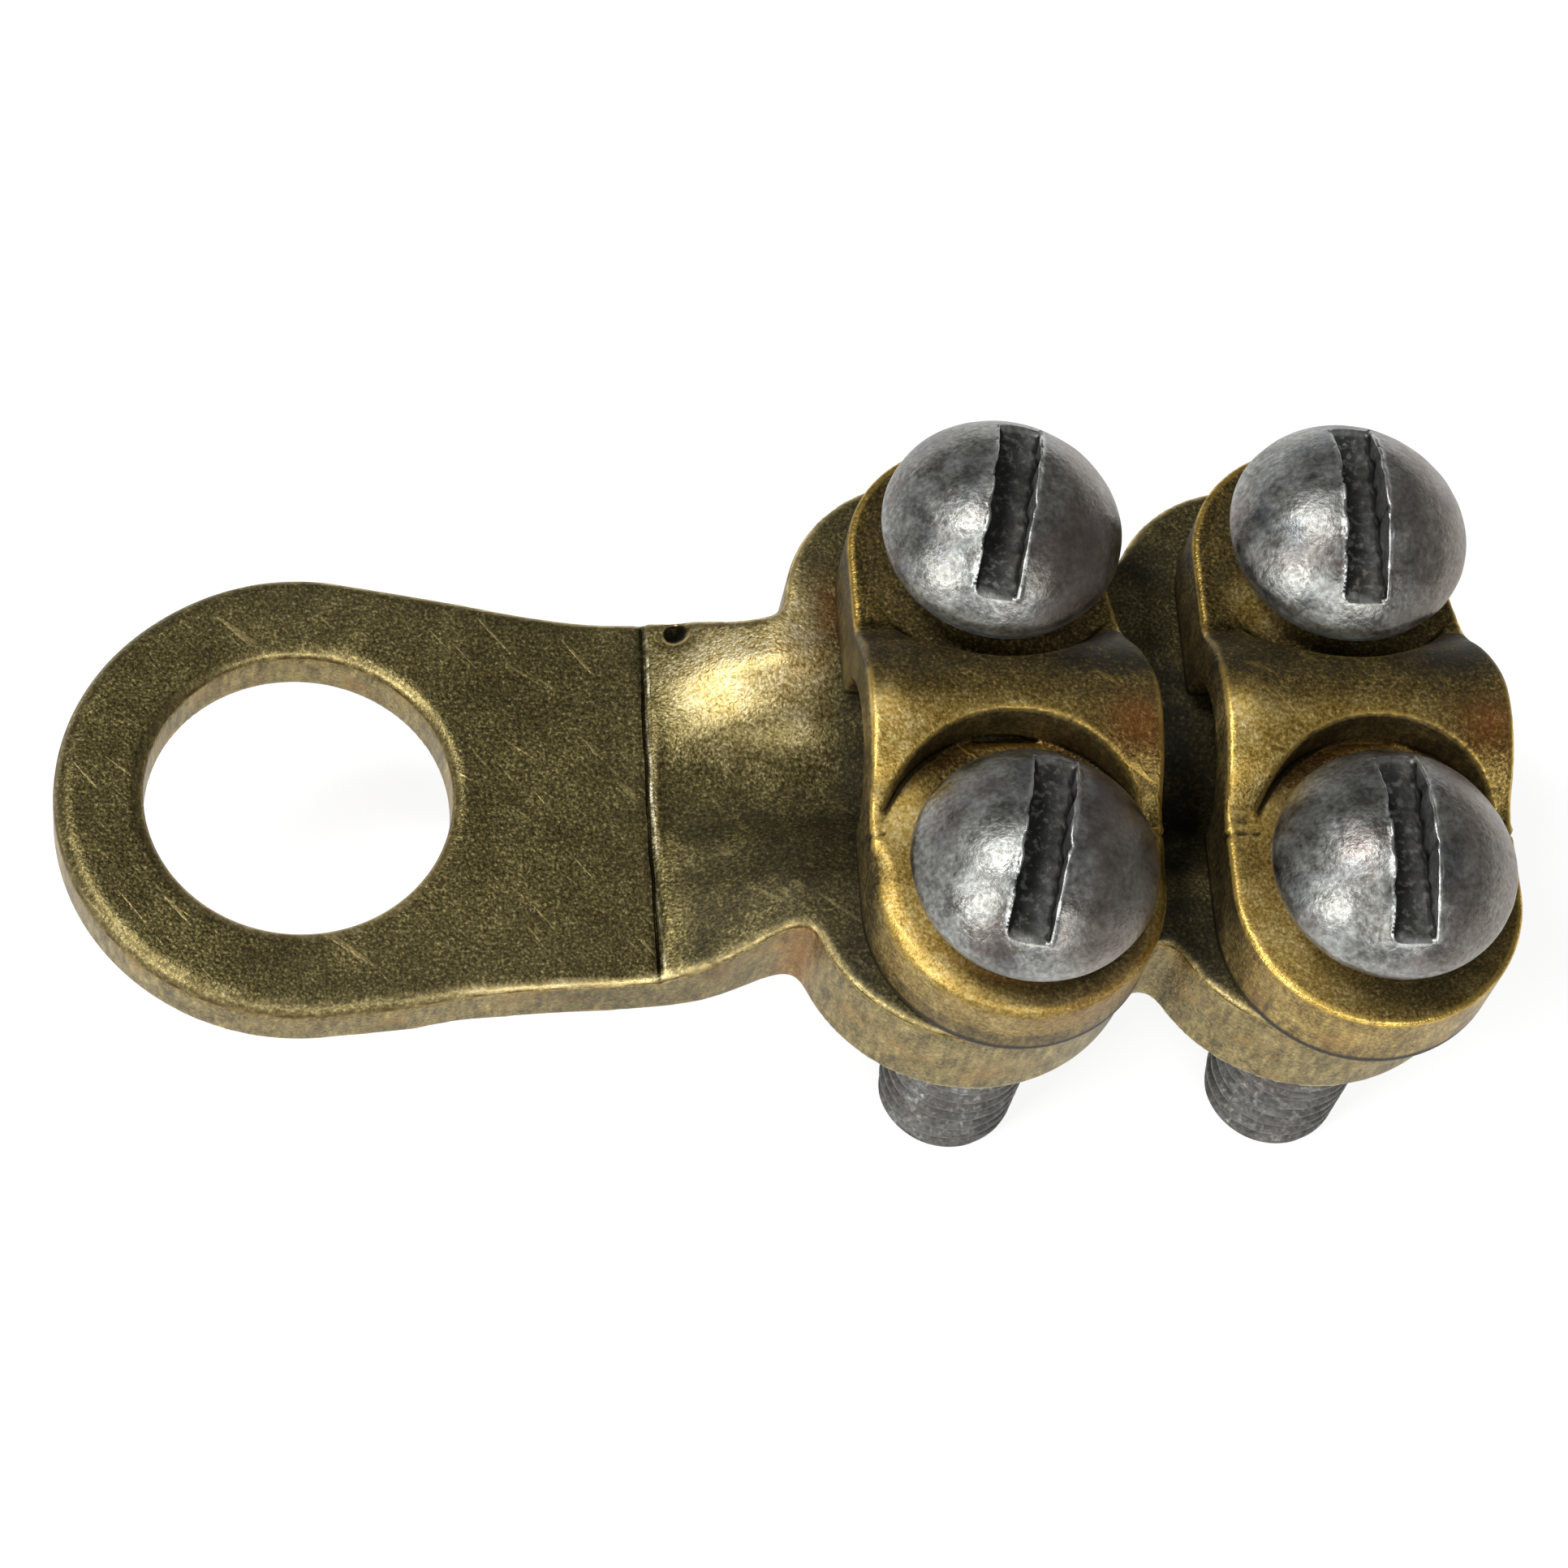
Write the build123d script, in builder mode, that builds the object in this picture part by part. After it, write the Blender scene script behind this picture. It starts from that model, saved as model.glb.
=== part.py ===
from build123d import *
import os
import math

os.makedirs("parts", exist_ok=True)

# ---------------------------------------------------------------- dimensions
# Frame: origin at the centre of the stud hole on the underside of the palm,
# +X towards the cable end, +Z up. All lengths in mm.

# lug body
stud_hole_r = 5.25        # clearance hole for an M10 stud
eye_r = 8.3               # outside radius of the eye
palm_t = 2.3              # thickness of the coined palm
ear_t = 4.3               # height of the clamp block above the underside
crease_x = 12.0           # line where the coined palm ends
ramp_end_x = 16.6         # where the clamp block reaches its full height
end_x = 39.9              # free end of the body
passage_r = 2.6           # round cable passage between trough and arches
passage_z = 4.85          # its axis, so that its floor is level with the palm
trough_lip = 3.95         # half width of the cable trough at ear level
body_edge = 0.3           # rounding of the clamp block's top edges
dimple_x, dimple_y = 13.2, 6.0
dimple_r = 0.4

# Plan of the sheared outline. The two sides are not quite alike: the neck is
# 0.7 fuller on the near side (-Y), and the far ears stand 0.9 nearer the eye.
near_leave, far_leave = -83.0, 80.0   # where the neck leaves the round eye, degrees
near_neck = [(3.6, -7.98), (5.2, -7.68), (7.2, -7.5), (9.2, -7.37), (11.2, -7.27),
             (13.2, -7.05), (14.2, -6.8), (15.2, -6.42), (16.0, -6.1)]
far_neck = [(5.4, 7.45), (7.8, 6.95), (10.1, 6.63), (12.2, 6.57), (13.8, 6.36), (15.4, 6.02)]
near_ears = [(22.93, -4.2, 6.13), (35.05, -4.2, 6.15)]   # centre x, y and radius
far_ears = [(22.06, 6.19, 5.15), (33.57, 6.11, 5.0)]
far_back_r = 6.3          # the far ears' sides towards the cable end are rounder
near_notch_y, far_notch_y = -5.85, 5.95
near_valley_y, far_valley_y = -6.7, 7.9
notch_r = 0.7
valley_r = 0.35

# clamp saddles
saddle1_x = 23.65         # screw plane of the saddle next to the palm
saddle2_x = 35.8          # screw plane of the saddle at the cable end
saddle_hw = 5.0           # half width along the cable
near_lobe_y = (5.75, 6.3) # centres of the near round ends, 5.0 in radius
far_lobe_y = 6.45         # the far round ends are smaller
far_lobe_r = 4.45
saddle_z0 = 4.35          # underside, 0.05 above the ears
saddle_top = 7.5          # top of the saddle ears, under the heads
crest_z = 9.4             # top of the arch
arch_r = 3.9              # outside radius of the arch
arch_foot = 4.05          # half width where the arch meets the ears
inner_lip = 0.5           # rounding of the arch's inside lips
# round steps cut into the arch flanks for the heads: on the near side the
# centre's offset from the screw plane, its y, and the radius, for each saddle
near_pockets = ((-0.15, -5.15, 4.65), (0.25, -5.05, 4.4))
far_pocket_r = 4.5
saddle_hole_r = 2.75      # clearance hole for M5

# screws, M5 x 18 slotted round head
screw_y = 6.35
shank_r = 2.45
tap_r = 2.5
screw_len = 18.0
head_gap = 1.2            # the screws are not run down onto the saddles
head_r = 4.2
head_under_r = 3.8
head_rim = 1.05           # height of the widest circle above the underside
dome_h = 2.5
slot_w = 1.4
slot_depth = 1.45
point = 0.45              # chamfer of the screw end

# ---------------------------------------------------------------- lug body
a_near, a_far = math.radians(near_leave), math.radians(far_leave)
leave_near = (eye_r * math.cos(a_near), eye_r * math.sin(a_near))
leave_far = (eye_r * math.cos(a_far), eye_r * math.sin(a_far))


def on_ear(ear, y, side):
    """Point at height y on the left (-1) or right (1) of a round ear."""
    return (ear[0] + side * math.sqrt(ear[2] ** 2 - (y - ear[1]) ** 2), y)


def below(ear, x):
    return (x, ear[1] - math.sqrt(ear[2] ** 2 - (x - ear[0]) ** 2))


def back_of(ear):
    """The rounder back of a far ear, tangent to it at its top."""
    return (ear[0], ear[1] + ear[2] - far_back_r, far_back_r)


near_notch = on_ear(near_ears[0], near_notch_y, -1)
far_notch = on_ear(far_ears[0], far_notch_y, -1)
near_v1, near_v2 = on_ear(near_ears[0], near_valley_y, 1), on_ear(near_ears[1], near_valley_y, -1)
back1, back2 = back_of(far_ears[0]), back_of(far_ears[1])
far_v1, far_v2 = on_ear(back1, far_valley_y, 1), on_ear(far_ears[1], far_valley_y, -1)
near_end, far_end = below(near_ears[1], end_x), (end_x, back2[1])
h45 = math.sqrt(0.5)

with BuildPart() as base:
    with BuildSketch(Plane.XY) as plan:
        with BuildLine():
            ThreePointArc(leave_near, (-eye_r, 0), leave_far)
            Spline([leave_far] + far_neck + [far_notch],
                   tangents=[(math.sin(a_far), -math.cos(a_far)), (1.0, -0.05)])
            ThreePointArc(far_notch, (far_ears[0][0] - far_ears[0][2] * h45,
                                      far_ears[0][1] + far_ears[0][2] * h45),
                          (far_ears[0][0], far_ears[0][1] + far_ears[0][2]))
            ThreePointArc((back1[0], back1[1] + back1[2]),
                          (back1[0] + back1[2] * 0.6, back1[1] + back1[2] * 0.8), far_v1)
            Line(far_v1, far_v2)
            ThreePointArc(far_v2, (far_ears[1][0] - far_ears[1][2] * h45,
                                   far_ears[1][1] + far_ears[1][2] * h45),
                          (far_ears[1][0], far_ears[1][1] + far_ears[1][2]))
            ThreePointArc((back2[0], back2[1] + back2[2]),
                          (back2[0] + back2[2] * h45, back2[1] + back2[2] * h45),
                          (back2[0] + back2[2], back2[1]))
            Polyline((back2[0] + back2[2], back2[1]), (end_x, back2[1] - 0.3), near_end)
            ThreePointArc(near_end, (near_ears[1][0], near_ears[1][1] - near_ears[1][2]), near_v2)
            Line(near_v2, near_v1)
            ThreePointArc(near_v1, (near_ears[0][0], near_ears[0][1] - near_ears[0][2]), near_notch)
            Spline([leave_near] + near_neck + [near_notch],
                   tangents=[(-math.sin(a_near), math.cos(a_near)), (1.0, 0.15)])
        make_face()
        corners = plan.vertices()
        fillet([v for v in corners if abs(v.Y - near_notch_y) < 1e-3 and v.X < 20]
               + [v for v in corners if abs(v.Y - far_notch_y) < 1e-3 and v.X < 20], notch_r)
        fillet([v for v in plan.vertices()
                if min(abs(v.Y - near_valley_y), abs(v.Y - far_valley_y)) < 1e-3
                and 26 < v.X < 31], valley_r)
        fillet([v for v in plan.vertices()
                if abs(v.X - near_end[0]) < 1e-3 and abs(v.Y - near_end[1]) < 1e-3], 1.0)
    extrude(amount=ear_t)
    fillet(base.faces().sort_by(Axis.Z)[-1].outer_wire().edges(), body_edge)
    # the palm is coined down to its own thickness
    with BuildSketch(Plane.XZ):
        with Locations((crease_x - 21, palm_t + 4)):
            Rectangle(42, 8)
    extrude(amount=12, both=True, mode=Mode.SUBTRACT)
    # cable trough: the flat palm grows along a ramp into ears with a round
    # floor between them
    h = passage_r * math.sin(math.radians(45))
    with BuildSketch(Plane.YZ.offset(crease_x)):
        with BuildLine():
            Polyline((14, palm_t), (14, 9), (-14, 9), (-14, palm_t), (-trough_lip, palm_t),
                     (-h, palm_t), (h, palm_t), (trough_lip, palm_t), (14, palm_t))
        make_face()
    with BuildSketch(Plane.YZ.offset(ramp_end_x)) as trough:
        with BuildLine():
            Polyline((14, ear_t), (14, 9), (-14, 9), (-14, ear_t), (-trough_lip, ear_t))
            Spline((-trough_lip, ear_t), (-h, passage_z - h), tangents=[(1, -1.5), (1, -1)])
            ThreePointArc((-h, passage_z - h), (0, passage_z - passage_r), (h, passage_z - h))
            Spline((h, passage_z - h), (trough_lip, ear_t), tangents=[(1, 1), (1, 1.5)])
            Line((trough_lip, ear_t), (14, ear_t))
        make_face()
    loft(mode=Mode.SUBTRACT)
    extrude(trough.sketch, amount=30, mode=Mode.SUBTRACT)
    # stud hole
    with Locations((0, 0, 0)):
        Cylinder(stud_hole_r, 20, mode=Mode.SUBTRACT)
    # bores for the clamp screws
    with Locations(*[(x, y, 0) for x in (saddle1_x, saddle2_x) for y in (-screw_y, screw_y)]):
        Cylinder(tap_r, 20, mode=Mode.SUBTRACT)
    # small punch mark beside the neck
    with Locations((dimple_x, dimple_y, palm_t + 0.65)):
        Sphere(dimple_r, mode=Mode.SUBTRACT)
print("base", base.part.volume, base.part.is_valid, len(base.part.solids()))

base.part.label = "lug_body"
export_step(base.part, "parts/lug_body.step")

# ---------------------------------------------------------------- saddles
saddles = {}
for name, sx, near_y, pocket, soft in (
        ("inner_saddle", saddle1_x, near_lobe_y[0], near_pockets[0], 0.8),
        ("outer_saddle", saddle2_x, near_lobe_y[1], near_pockets[1], 0.2)):
    left, right = sx - saddle_hw, sx + saddle_hw
    far_x = left + far_lobe_r

    # round ends joined by a straight side and one that tapers to the far end
    with BuildSketch(Plane.XY.offset(saddle_z0)) as foot:
        with BuildLine():
            ThreePointArc((left, -near_y), (sx, -near_y - saddle_hw), (right, -near_y))
            Line((right, -near_y), (right, 0))
            Spline([(right, 0), (sx + 4.2, 4.1), (far_x + far_lobe_r, far_lobe_y)],
                   tangents=[(0, 1), (0, 1)])
            ThreePointArc((far_x + far_lobe_r, far_lobe_y), (far_x, far_lobe_y + far_lobe_r),
                          (left, far_lobe_y))
            Line((left, far_lobe_y), (left, -near_y))
        make_face()

    # arch over the cable, cut to the same outline
    cz = crest_z - arch_r
    ay = math.sqrt(arch_r ** 2 - (saddle_top + 0.25 - cz) ** 2)
    with BuildPart() as arch:
        extrude(foot.sketch, amount=8)
        with BuildSketch(Plane.YZ.offset(left - 1)):
            with BuildLine():
                ThreePointArc((-ay, saddle_top + 0.25), (0, crest_z), (ay, saddle_top + 0.25))
                Spline((ay, saddle_top + 0.25), (arch_foot, saddle_top),
                       tangents=[((saddle_top + 0.25 - cz), -ay), (1, 0)])
                Polyline((arch_foot, saddle_top), (arch_foot, saddle_top - 1),
                         (-arch_foot, saddle_top - 1), (-arch_foot, saddle_top))
                Spline((-arch_foot, saddle_top), (-ay, saddle_top + 0.25),
                       tangents=[(1, 0), ((saddle_top + 0.25 - cz), ay)])
            make_face()
        extrude(amount=2 * saddle_hw + 2, mode=Mode.INTERSECT)

    with BuildPart() as saddle:
        extrude(foot.sketch, amount=saddle_top - saddle_z0)
        fillet(saddle.faces().sort_by(Axis.Z)[-1].outer_wire().edges(), soft)
        fillet(saddle.faces().sort_by(Axis.Z)[0].outer_wire().edges(), 0.2)
        add(arch.part)
        # round steps that clear the screw heads
        with Locations((sx + pocket[0], pocket[1], saddle_top + 2)):
            Cylinder(pocket[2], 4, mode=Mode.SUBTRACT)
        with Locations((sx, screw_y, saddle_top + 2)):
            Cylinder(far_pocket_r, 4, mode=Mode.SUBTRACT)
        # inside of the arch
        with BuildSketch(Plane.YZ.offset(sx - saddle_hw)) as inside:
            with BuildLine():
                lip_z = saddle_z0 + inner_lip
                lip_y = math.sqrt(passage_r ** 2 - (lip_z - passage_z) ** 2)
                ThreePointArc((-lip_y, lip_z), (0, passage_z + passage_r), (lip_y, lip_z))
                Spline((lip_y, lip_z), (lip_y + inner_lip, saddle_z0),
                       tangents=[(lip_z - passage_z, -lip_y), (1, -0.2)])
                Polyline((lip_y + inner_lip, saddle_z0), (lip_y + inner_lip, saddle_z0 - 1),
                         (-lip_y - inner_lip, saddle_z0 - 1), (-lip_y - inner_lip, saddle_z0))
                Spline((-lip_y - inner_lip, saddle_z0), (-lip_y, lip_z),
                       tangents=[(1, 0.2), (lip_z - passage_z, lip_y)])
            make_face()
        extrude(amount=2 * saddle_hw, mode=Mode.SUBTRACT)
        with Locations((sx, screw_y, saddle_z0), (sx, -screw_y, saddle_z0)):
            Cylinder(saddle_hole_r, 20, mode=Mode.SUBTRACT)
    print(name, saddle.part.volume, saddle.part.is_valid, len(saddle.part.solids()))
    saddles[name] = saddle.part
    saddle.part.label = name
    export_step(saddle.part, "parts/" + name + ".step")

# ---------------------------------------------------------------- screws
under = saddle_top + head_gap
dome_r = (head_r ** 2 + dome_h ** 2) / (2 * dome_h)
crown = under + head_rim + dome_h
tip_z = under - screw_len
for name, sx, sy, turn in (("inner_near_screw", saddle1_x, -screw_y, -13.0),
                           ("inner_far_screw", saddle1_x, screw_y, -12.0),
                           ("outer_near_screw", saddle2_x, -screw_y, -1.0),
                           ("outer_far_screw", saddle2_x, screw_y, -2.0)):
    axis = Plane(origin=(sx, sy, 0), x_dir=(1, 0, 0), z_dir=(0, -1, 0))
    with BuildPart() as screw:
        with BuildSketch(axis):
            with BuildLine():
                Polyline((0, tip_z), (shank_r - point, tip_z), (shank_r, tip_z + point),
                         (shank_r, under), (head_under_r, under))
                ThreePointArc((head_under_r, under),
                              (head_under_r + 0.75 * (head_r - head_under_r), under + 0.32 * head_rim),
                              (head_r, under + head_rim))
                ThreePointArc((head_r, under + head_rim),
                              (dome_r * math.sin(0.5 * math.asin(head_r / dome_r)),
                               crown - dome_r + dome_r * math.cos(0.5 * math.asin(head_r / dome_r))),
                              (0, crown))
                Line((0, crown), (0, tip_z))
            make_face()
        revolve(axis=Axis((sx, sy, 0), (0, 0, 1)))
        with BuildSketch(Plane(origin=(sx, sy, crown), x_dir=(1, 0, 0), z_dir=(0, 0, 1)).rotated((0, 0, turn))):
            Rectangle(slot_w, 12)
        extrude(amount=-slot_depth, mode=Mode.SUBTRACT)
    screw.part.label = name
    print(name, screw.part.volume, screw.part.is_valid, len(screw.part.solids()))
    export_step(screw.part, "parts/" + name + ".step")
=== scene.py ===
import math

import bpy
import numpy as np
from mathutils import Matrix, Vector, noise


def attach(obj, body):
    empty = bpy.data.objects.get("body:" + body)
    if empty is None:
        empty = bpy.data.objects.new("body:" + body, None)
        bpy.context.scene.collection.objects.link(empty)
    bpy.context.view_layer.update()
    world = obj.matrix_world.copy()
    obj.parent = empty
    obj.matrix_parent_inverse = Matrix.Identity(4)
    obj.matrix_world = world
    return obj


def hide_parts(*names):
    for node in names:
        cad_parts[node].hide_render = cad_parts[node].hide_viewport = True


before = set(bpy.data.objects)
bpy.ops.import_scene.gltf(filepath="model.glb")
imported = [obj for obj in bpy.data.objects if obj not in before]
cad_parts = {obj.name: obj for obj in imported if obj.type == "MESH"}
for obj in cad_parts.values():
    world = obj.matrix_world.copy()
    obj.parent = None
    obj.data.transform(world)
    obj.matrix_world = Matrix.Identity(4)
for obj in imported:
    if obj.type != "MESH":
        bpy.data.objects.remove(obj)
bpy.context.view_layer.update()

# ------------------------------------------------------------------ sizes, mm
# The same numbers as in the CAD source.
HOLE_R, EYE_R = 5.25, 8.3
PALM_T, EAR_T = 2.3, 4.3
CREASE_X, RAMP_X, END_X = 12.0, 16.6, 39.9
NEAR_LEAVE, FAR_LEAVE = -83.0, 80.0
NEAR_NECK = [(3.6, -7.98), (5.2, -7.68), (7.2, -7.5), (9.2, -7.37), (11.2, -7.27),
             (13.2, -7.05), (14.2, -6.8), (15.2, -6.42), (16.0, -6.1)]
FAR_NECK = [(5.4, 7.45), (7.8, 6.95), (10.1, 6.63), (12.2, 6.57), (13.8, 6.36), (15.4, 6.02)]
NEAR_EARS = [(22.93, -4.2, 6.13), (35.05, -4.2, 6.15)]
FAR_EARS = [(22.06, 6.19, 5.15), (33.57, 6.11, 5.0)]
BACK_R = 6.3
NEAR_NOTCH_Y, FAR_NOTCH_Y, NEAR_VALLEY_Y, FAR_VALLEY_Y = -5.85, 5.95, -6.7, 7.9
PASS_R, PASS_Z, LIP = 2.6, 4.85, 3.95
S1, S2, S_HW = 23.65, 35.8, 5.0
NEAR_LOBE_Y, FAR_LOBE_Y, FAR_LOBE_R = (5.75, 6.3), 6.45, 4.45
S_Z0, S_TOP, CREST = 4.35, 7.5, 9.4
ARCH_R, S_HOLE = 3.9, 2.75
# round steps for the heads: x from the screw plane, y, radius
NEAR_POCKETS = ((-0.15, -5.15, 4.65), (0.25, -5.05, 4.4))
FAR_POCKET = (0.0, 6.35, 4.5)
SCREW_Y, TAP_R, SHANK_R = 6.35, 2.5, 2.45
SCREW_LEN, GAP = 18.0, 1.2
HEAD_R, RIM, DOME_H, SLOT_W, SLOT_D = 4.2, 1.05, 2.5, 1.4, 1.45
PITCH = 0.8
MM = 0.001


# ------------------------------------------------------------ distance fields
def both(a, b, r):
    """Intersection with its convex edge rounded to radius r."""
    u, v = np.maximum(r + a, 0), np.maximum(r + b, 0)
    return np.minimum(-r, np.maximum(a, b)) + np.hypot(u, v)


def either(a, b, r):
    """Union with its hollow edge filled to radius r."""
    u, v = np.maximum(r - a, 0), np.maximum(r - b, 0)
    return np.maximum(r, np.minimum(a, b)) - np.hypot(u, v)


def ramp(u, w):
    """max(u, 0), softened over w."""
    return 0.5 * (u + np.sqrt(u * u + w * w))


def bump(u, w):
    return np.exp(-((u / w) ** 2))


def step(u, a, b):
    t = np.clip((u - a) / (b - a), 0, 1)
    return t * t * (3 - 2 * t)


def hermite(p0, t0, p1, t1, n):
    s = np.linspace(0, 1, n)[:, None]
    return ((2 * s**3 - 3 * s**2 + 1) * p0 + (s**3 - 2 * s**2 + s) * t0
            + (-2 * s**3 + 3 * s**2) * p1 + (s**3 - s**2) * t1)


def spline(keys, first, last, n=12):
    """Smooth line through the keys with given end directions."""
    keys = [np.array(k, float) for k in keys]
    tang = [np.array(first, float) / np.linalg.norm(first)]
    for i in range(1, len(keys) - 1):
        d = keys[i + 1] - keys[i - 1]
        tang.append(d / np.linalg.norm(d))
    tang.append(np.array(last, float) / np.linalg.norm(last))
    pts = [keys[0]]
    for i in range(len(keys) - 1):
        span = np.linalg.norm(keys[i + 1] - keys[i])
        pts += list(hermite(keys[i], tang[i] * span, keys[i + 1], tang[i + 1] * span, n)[1:])
    return pts


def arc(cx, cy, r, first, last, n=60):
    return [np.array([cx + r * math.cos(a), cy + r * math.sin(a)])
            for a in np.linspace(math.radians(first), math.radians(last), n)]


def lug_outline():
    """The closed plan of the lug body, from the eye round the far side and back."""
    a_near, a_far = math.radians(NEAR_LEAVE), math.radians(FAR_LEAVE)

    def at(ear, y):
        return math.degrees(math.asin((y - ear[1]) / ear[2]))

    e1, e2 = FAR_EARS
    n1, n2 = NEAR_EARS
    back1 = (e1[0], e1[1] + e1[2] - BACK_R, BACK_R)
    back2 = (e2[0], e2[1] + e2[2] - BACK_R, BACK_R)
    pts = arc(0, 0, EYE_R, NEAR_LEAVE + 360, FAR_LEAVE, 160)
    notch = arc(*e1, 180 - at(e1, FAR_NOTCH_Y), 180, 2)[0]
    pts += spline([pts[-1]] + FAR_NECK + [notch], (math.sin(a_far), -math.cos(a_far)), (1, -0.05))
    pts += arc(*e1, 180 - at(e1, FAR_NOTCH_Y), 90)
    pts += arc(*back1, 90, at(back1, FAR_VALLEY_Y))
    pts += arc(*e2, 180 - at(e2, FAR_VALLEY_Y), 90)
    pts += arc(*back2, 90, 0)
    low = -math.degrees(math.acos((END_X - n2[0]) / n2[2]))
    pts += arc(*n2, low, -180 - at(n2, NEAR_VALLEY_Y))
    pts += arc(*n1, at(n1, NEAR_VALLEY_Y), -180 - at(n1, NEAR_NOTCH_Y))
    start = arc(0, 0, EYE_R, NEAR_LEAVE, 0, 2)[0]
    back = spline([start] + NEAR_NECK + [pts[-1]], (-math.sin(a_near), math.cos(a_near)), (1, 0.15))
    return np.array(pts + back[::-1])


def saddle_outline(sx, near_y):
    left, right = sx - S_HW, sx + S_HW
    far_x = left + FAR_LOBE_R
    pts = arc(sx, -near_y, S_HW, -180, 0, 90)
    pts += spline([(right, 0), (sx + 4.2, 4.1), (far_x + FAR_LOBE_R, FAR_LOBE_Y)], (0, 1), (0, 1))
    pts += arc(far_x, FAR_LOBE_Y, FAR_LOBE_R, 0, 180, 90)
    return np.array(pts)


class Plan:
    """Signed distance to a closed outline, kept in a table and read between its points."""

    def __init__(self, pts, lo, hi, h):
        self.lo, self.h = np.array(lo, float), h
        nx, ny = (int(round((hi[i] - lo[i]) / h)) + 1 for i in range(2))
        gx, gy = np.meshgrid(lo[0] + h * np.arange(nx), lo[1] + h * np.arange(ny), indexing="ij")
        p = np.stack([gx.ravel(), gy.ravel()], 1)
        a, b = pts, np.roll(pts, -1, axis=0)
        d = b - a
        ll = (d * d).sum(1) + 1e-12
        best = np.full(len(p), 1e9)
        cross = np.zeros(len(p), int)
        for i in range(len(a)):
            t = np.clip(((p - a[i]) @ d[i]) / ll[i], 0, 1)
            q = p - a[i] - t[:, None] * d[i]
            best = np.minimum(best, (q * q).sum(1))
            x0, x1 = sorted((a[i][0], b[i][0]))
            hit = (p[:, 0] >= x0) & (p[:, 0] < x1)
            if x1 - x0 > 1e-12:
                yy = a[i][1] + (p[:, 0] - a[i][0]) * d[i][1] / d[i][0]
                cross += (hit & (yy > p[:, 1])).astype(int)
        best = np.sqrt(best)
        self.table = np.where(cross % 2 == 1, -best, best).reshape(nx, ny)

    def __call__(self, x, y):
        u = np.clip((x - self.lo[0]) / self.h, 0, self.table.shape[0] - 1.001)
        v = np.clip((y - self.lo[1]) / self.h, 0, self.table.shape[1] - 1.001)
        i, j = u.astype(int), v.astype(int)
        u, v = u - i, v - j
        t = self.table
        return ((t[i, j] * (1 - u) + t[i + 1, j] * u) * (1 - v)
                + (t[i, j + 1] * (1 - u) + t[i + 1, j + 1] * u) * v)


plan = Plan(lug_outline(), (-9.4, -11.4), (41.0, 12.2), 0.1)


def blur_plan(p, r, spots):
    """Rounds the notch and valley corners of the table."""
    t = p.table
    k = max(int(r / p.h), 1)
    soft = t.copy()
    for _ in range(2):
        for axis in (0, 1):
            acc = np.zeros_like(soft)
            for s in range(-k, k + 1):
                acc += np.roll(soft, s, axis)
            soft = acc / (2 * k + 1)
    gx, gy = np.meshgrid(p.lo[0] + p.h * np.arange(t.shape[0]),
                         p.lo[1] + p.h * np.arange(t.shape[1]), indexing="ij")
    w = np.zeros_like(t)
    for x, y, size in spots:
        w = np.maximum(w, np.exp(-(np.hypot(gx - x, gy - y) / size) ** 4))
    p.table = t * (1 - w) + soft * w


blur_plan(plan, 0.4, ((17.0, -5.85, 1.2), (16.9, 5.95, 1.2), (28.5, -6.7, 0.9), (29.45, -6.7, 0.9),
                      (27.7, 7.9, 0.9), (28.9, 7.9, 0.9), (39.9, -7.9, 0.9)))


def trough(ay):
    """Height of the trough and ears across the clamp block."""
    h = PASS_R * math.sin(math.radians(45))
    z0 = PASS_Z - h
    low = PASS_Z - np.sqrt(np.maximum(PASS_R**2 - np.minimum(ay, h) ** 2, 0))
    s = np.clip((ay - h) / (LIP - h), 0, 1)
    span = LIP - h
    high = ((2 * s**3 - 3 * s**2 + 1) * z0 + (s**3 - 2 * s**2 + s) * span
            + (-2 * s**3 + 3 * s**2) * EAR_T + (s**3 - s**2) * 1.1 * span)
    z = np.where(ay < h, low, high)
    # a round lip where the trough meets the ear
    return z - 0.10 * bump(ay - LIP, 0.28)


def lug_top(x, y):
    ay = np.abs(y)
    t = ramp((x - CREASE_X) / (RAMP_X - CREASE_X), 0.03)
    t = 1 - ramp(1 - t, 0.10)
    z = PALM_T + t * (trough(ay) - PALM_T)
    # a pressed line across the palm with a small raised lip behind it
    edge = CREASE_X + 0.05 * np.sin(y * 1.1)
    z = z - 0.07 * bump(x - edge, 0.12) + 0.04 * bump(x - edge - 0.26, 0.16)
    z = z - 0.25 * bump(np.hypot(x - 13.2, y - 5.98), 0.42)
    return z


def lug_field(x, y, z):
    ay = np.abs(y)
    side = plan(x, y)
    e = 0.02
    top = lug_top(x, y)
    gx = (lug_top(x + e, y) - top) / e
    gy = (lug_top(x, y + e) - top) / e
    d_top = (z - top) / np.sqrt(1 + gx * gx + gy * gy)
    roll = 0.27 + 0.36 * step(5.0 - x - 0.5 * y, 0, 7)
    d = both(side, d_top, roll)
    d = both(d, -z, 0.2)
    d = both(d, HOLE_R - np.hypot(x, y), 0.42)
    for sx in (S1, S2):
        d = np.maximum(d, TAP_R + 0.03 - np.hypot(x - sx, ay - SCREW_Y))
    return d


def to_pocket(u, y, pocket):
    """Distance inward from the wall of the round step on this side of the arch."""
    near = pocket[2] - np.hypot(u - pocket[0], y - pocket[1])
    far = FAR_POCKET[2] - np.hypot(u - FAR_POCKET[0], y - FAR_POCKET[1])
    return np.where(y < 0, near, far)


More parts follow.
